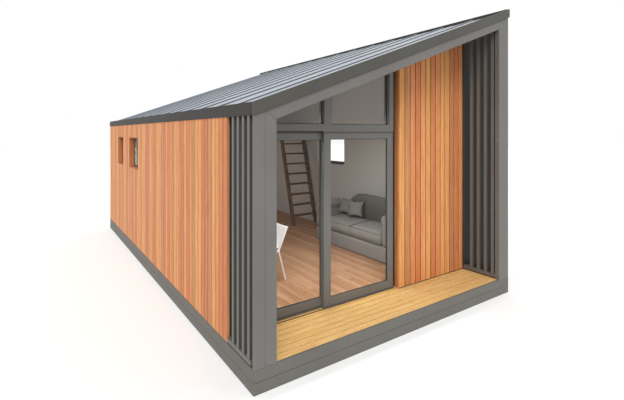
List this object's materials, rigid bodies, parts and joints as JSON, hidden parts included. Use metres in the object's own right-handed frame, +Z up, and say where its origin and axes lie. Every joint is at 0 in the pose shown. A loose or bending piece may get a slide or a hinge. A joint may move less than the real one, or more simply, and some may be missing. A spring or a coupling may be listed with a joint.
{
  "type": "glamping pod",
  "caption": "Timber-clad cabin with a single-slope ribbed metal roof, a porch between louvre screens, and a glazed front with a sliding door leaf.",
  "frame": {"origin": "centre of the footprint over the roof's overhangs, on the ground", "axes": "+Z up, +Y towards the back of the cabin, the porch faces -Y, +X towards the high eave"},
  "size_m": [4.216, 7.96, 4.2126],
  "materials": {
    "grey_frame": "opaque grey paint, satin",
    "dark_trim": "dark grey, matt",
    "structure_timber": "sawn",
    "floor_wood": "oiled planks",
    "deck_wood": "grooved boards",
    "wall_paint": "painted wall board, matt",
    "cladding_wood": "oiled upright boards",
    "window_metal": "dark grey, satin",
    "clear_glass": "clear, polished",
    "roof_metal": "coated sheet with standing seams",
    "door_metal": "grey powder coat, satin",
    "ladder_wood": "dark stain",
    "sofa_fabric": "grey upholstery cloth",
    "chair_paint": "white paint",
    "chair_fabric": "white canvas"
  },
  "bodies": {
    "cabin": {"plinth_side_beams": "grey_frame", "plinth_end_beams": "grey_frame", "rim_side_boards": "grey_frame", "rim_end_boards": "grey_frame", "front_posts": "grey_frame", "front_jambs": "grey_frame", "rake_beam": "grey_frame", "left_fins": "grey_frame", "right_fins": "grey_frame", "screen_rails": "grey_frame", "wall_end_trims": "dark_trim", "roof_panel": "dark_trim", "rake_fascias": "dark_trim", "eave_fascias": "dark_trim", "floor_bearers": "structure_timber", "cabin_floor": "structure_timber", "floor_boards": "floor_wood", "loft_floor": "floor_wood", "loft_beam": "floor_wood", "porch_deck": "deck_wood", "left_wall": "wall_paint", "right_wall": "wall_paint", "back_wall": "wall_paint", "front_wall": "wall_paint", "ceiling": "wall_paint", "left_cladding": "cladding_wood", "right_cladding": "cladding_wood", "back_cladding": "cladding_wood", "front_cladding": "cladding_wood", "window_reveals": "cladding_wood", "window_frames": "window_metal", "window_glass": "clear_glass", "upper_glass": "clear_glass", "fixed_glass": "clear_glass", "roof_sheet": "roof_metal", "glazing_jambs": "door_metal", "door_track": "door_metal", "transom": "door_metal", "upper_bars": "door_metal", "upper_head": "door_metal", "fixed_leaf": "door_metal", "ladder_sides": "ladder_wood", "ladder_treads": "ladder_wood", "sofa_base": "sofa_fabric", "sofa_back": "sofa_fabric", "sofa_arms": "sofa_fabric", "sofa_cushions": "sofa_fabric", "sofa_pillows": "sofa_fabric", "chair_frame": "chair_paint", "chair_sling": "chair_fabric"},
    "door": {"sliding_leaf": "door_metal", "sliding_glass": "clear_glass", "door_rollers": "door_metal", "door_pull": "door_metal"}
  },
  "joints": [
    {"name": "door_slide", "type": "slide", "parent": "cabin", "child": "door", "axis": [1, 0, 0], "range_m": [0, 1]}
  ]
}
